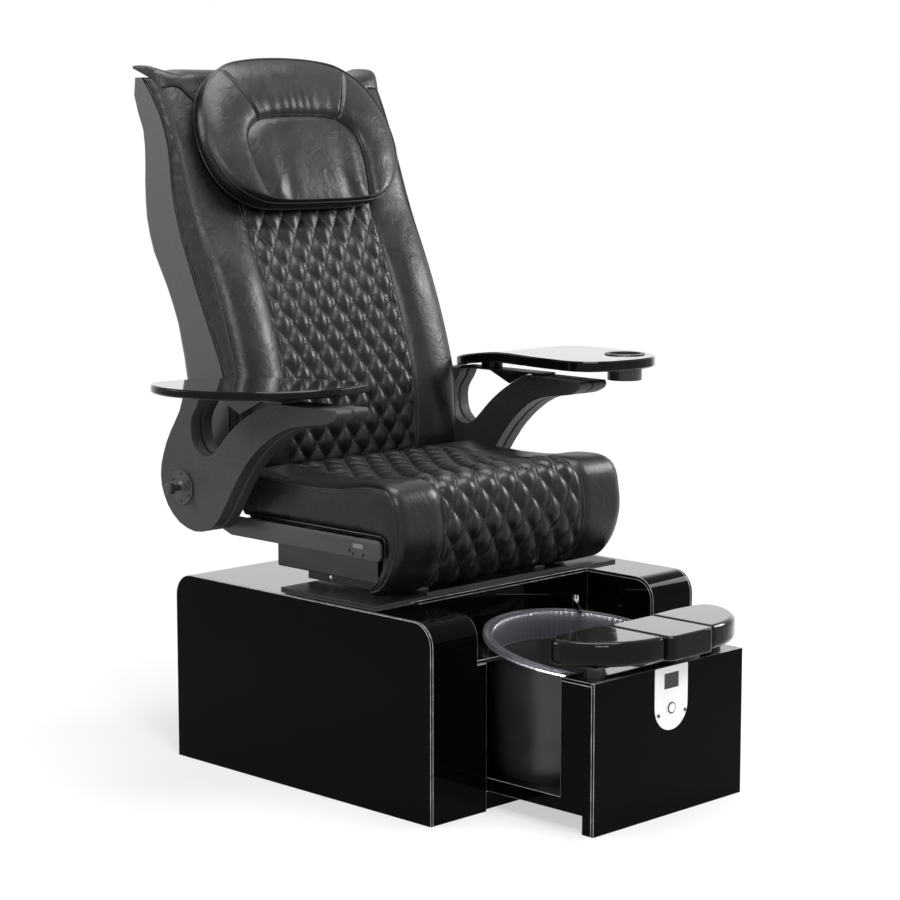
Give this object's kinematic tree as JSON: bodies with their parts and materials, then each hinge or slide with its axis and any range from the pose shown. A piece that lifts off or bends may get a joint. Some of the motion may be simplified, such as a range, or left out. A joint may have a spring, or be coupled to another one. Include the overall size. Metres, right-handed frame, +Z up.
{
  "type": "pedicure spa chair",
  "caption": "Pedicure spa chair: boxy glossy base with a foot basin and padded footrest, under a powered, quilted reclining massage chair with lifting arms and swivel trays.",
  "frame": {"origin": "on the floor under the middle of the base, foot box not counted", "axes": "+Z up, the chair and its foot box face -Y, the sitter's left hand is at +X"},
  "size_m": [1.1195, 1.278, 1.4356],
  "materials": {
    "black_acrylic": "high gloss black sheet",
    "smoke_grey_plastic": "satin smoke grey",
    "clear_plastic": "clear, ribbed",
    "silver_plate": "satin silver",
    "dark_window": "dark display window",
    "pad_gloss": "glossy moulded foam skin",
    "chrome": "polished",
    "zinc_steel": "zinc plated",
    "black_steel": "black powder coat",
    "grey_paint": "satin grey paint",
    "black_leather": "smooth near-black leather, quilted and stitched",
    "textured_plastic": "fine pebbled dark grey",
    "tray_gloss": "high gloss black",
    "motor_grey": "matt grey",
    "plywood": "raw plywood"
  },
  "bodies": {
    "base": {"base_wrap": "black_acrylic", "side_panel_left": "black_acrylic", "side_panel_right": "black_acrylic", "inner_wall_left": "black_acrylic", "inner_wall_right": "black_acrylic", "backsplash": "black_acrylic", "floor_plate": "plywood", "kick_panel": "black_acrylic", "basin_deck": "black_acrylic", "base_frame": "black_steel", "foot_box_front": "black_acrylic", "foot_box_side_left": "black_acrylic", "foot_box_side_right": "black_acrylic", "foot_box_top": "black_acrylic", "foot_box_floor": "black_acrylic", "basin_bowl": "smoke_grey_plastic", "basin_liner": "clear_plastic", "drain_strainer": "chrome", "jet_cover": "smoke_grey_plastic", "jet_motor": "motor_grey", "faucet_body": "chrome", "control_plate": "silver_plate", "display_window": "dark_window", "seat_base_plate": "black_steel", "slide_rail_left": "zinc_steel", "slide_rail_right": "zinc_steel", "slide_motor": "motor_grey"},
    "footrest": {"footrest_center": "pad_gloss", "footrest_left": "pad_gloss", "footrest_right": "pad_gloss", "footrest_frame": "black_steel"},
    "faucet_lever": {"faucet_lever": "chrome"},
    "control_button": {"control_button": "silver_plate"},
    "seat": {"seat_carriage": "black_steel", "seat_pan": "grey_paint", "seat_frame": "black_steel", "seat_board": "plywood", "seat_cushion": "black_leather", "side_rail_left": "grey_paint", "side_rail_right": "grey_paint", "recline_shaft": "zinc_steel", "recline_motor": "motor_grey"},
    "back": {"back_shell": "textured_plastic", "back_cushion": "black_leather", "shoulder_cover": "black_leather", "head_pillow": "black_leather", "back_frame": "black_steel"},
    "massage_carriage": {"massage_carriage": "motor_grey"},
    "massage_roller": {"massage_roller": "motor_grey"},
    "arm_left": {"arm_inner_left": "textured_plastic", "arm_outer_left": "textured_plastic", "arm_pivot_left": "grey_paint", "tray_bracket_left": "black_steel"},
    "arm_right": {"arm_inner_right": "textured_plastic", "arm_outer_right": "textured_plastic", "arm_pivot_right": "grey_paint", "tray_bracket_right": "black_steel"},
    "tray_left": {"tray_left": "tray_gloss"},
    "tray_right": {"tray_right": "tray_gloss", "cup_holder": "smoke_grey_plastic"}
  },
  "joints": [
    {"name": "footrest_height", "type": "slide", "parent": "base", "child": "footrest", "axis": [0, 0, 1], "range_m": [0, 0.05]},
    {"name": "faucet_lever_turn", "type": "hinge", "parent": "base", "child": "faucet_lever", "pos_m": [0.186, -0.222, 0.3366], "axis": [0, 0, 1], "range_deg": [0, 90]},
    {"name": "control_button_press", "type": "slide", "parent": "base", "child": "control_button", "axis": [0, 1, 0], "range_m": [0, 0.0025], "stiffness_N_per_m": 300},
    {"name": "seat_slide", "type": "slide", "parent": "base", "child": "seat", "axis": [0, -1, 0], "range_m": [0, 0.1]},
    {"name": "back_recline", "type": "hinge", "parent": "seat", "child": "back", "pos_m": [0, 0.318, 0.5223], "axis": [-1, 0, 0], "range_deg": [0, 30]},
    {"name": "massage_travel", "type": "slide", "parent": "back", "child": "massage_carriage", "axis": [0, 0.2582, 0.9661], "range_m": [0, 0.3]},
    {"name": "massage_spin", "type": "hinge", "parent": "massage_carriage", "child": "massage_roller", "pos_m": [0, 0.3481, 0.6834], "axis": [1, 0, 0], "continuous": true},
    {"name": "arm_left_lift", "type": "hinge", "parent": "seat", "child": "arm_left", "pos_m": [-0.3443, 0.325, 0.5703], "axis": [-1, 0, 0], "range_deg": [0, 25]},
    {"name": "arm_right_lift", "type": "hinge", "parent": "seat", "child": "arm_right", "pos_m": [0.3443, 0.325, 0.5703], "axis": [-1, 0, 0], "range_deg": [0, 25]},
    {"name": "tray_left_swivel", "type": "hinge", "parent": "arm_left", "child": "tray_left", "pos_m": [-0.3783, 0.2, 0.7633], "axis": [0, 0, 1], "range_deg": [-40, 0]},
    {"name": "tray_right_swivel", "type": "hinge", "parent": "arm_right", "child": "tray_right", "pos_m": [0.3783, 0.2, 0.7633], "axis": [0, 0, 1], "range_deg": [0, 20]}
  ]
}
